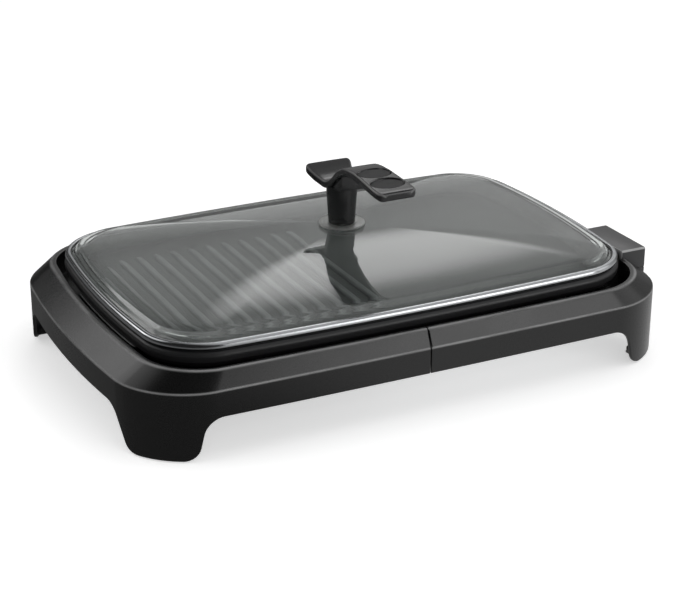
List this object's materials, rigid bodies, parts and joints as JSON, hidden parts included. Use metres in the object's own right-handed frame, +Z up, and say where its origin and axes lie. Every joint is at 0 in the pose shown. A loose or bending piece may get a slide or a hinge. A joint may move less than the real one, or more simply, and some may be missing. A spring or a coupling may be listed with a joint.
{
  "type": "electric indoor grill with lid",
  "caption": "Rectangular electric table grill: moulded base on four legs, lift-out non-stick plate with ribbed and flat halves, lift-off domed glass lid with a winged handle.",
  "frame": {"origin": "centre of the footprint on the table", "axes": "+X along the long side towards the terminal socket, +Y to the back, +Z up"},
  "size_m": [0.5514, 0.351, 0.1901],
  "materials": {
    "base_plastic": "satin",
    "zinc_steel": "satin",
    "pan_steel": "brushed",
    "rubber": "matt",
    "phenolic": "matt",
    "nonstick_aluminium": "satin non-stick coating on cast aluminium",
    "element_sheath": "oxidised",
    "contact_brass": "satin",
    "ceramic": "glazed",
    "tempered_glass": "clear, faintly smoked",
    "rim_steel": "polished stainless",
    "silicone": "translucent",
    "handle_plastic": "fine texture",
    "pad_rubber": "matt soft touch",
    "socket_plastic": "fine texture"
  },
  "bodies": {
    "base": {"base_left": "base_plastic", "base_right": "base_plastic", "seam_joiners": "zinc_steel", "joiner_screws": "zinc_steel", "reflector_pan": "pan_steel", "pan_screws": "zinc_steel", "rubber_feet": "rubber", "plate_pads": "phenolic"},
    "plate": {"grill_plate": "nonstick_aluminium", "heating_element": "element_sheath", "element_clamps": "zinc_steel", "clamp_screws": "zinc_steel", "contact_pins": "contact_brass", "pin_insulators": "ceramic", "terminal_plate": "phenolic", "probe_sleeve": "contact_brass", "earth_contact": "zinc_steel", "socket_upper": "socket_plastic", "socket_lower": "socket_plastic", "socket_screws": "zinc_steel"},
    "lid": {"lid_glass": "tempered_glass", "lid_rim": "rim_steel", "rim_gasket": "silicone", "crown_washer": "silicone", "seal_washer": "silicone", "screw_cup": "zinc_steel", "handle_body": "handle_plastic", "finger_pads": "pad_rubber", "handle_insert": "contact_brass", "handle_screw": "zinc_steel"}
  },
  "joints": [
    {"name": "plate_lift", "type": "slide", "parent": "base", "child": "plate", "axis": [0, 0, 1], "range_m": [0, 0.12]},
    {"name": "lid_lift", "type": "slide", "parent": "plate", "child": "lid", "axis": [0, 0, 1], "range_m": [0, 0.14]}
  ]
}
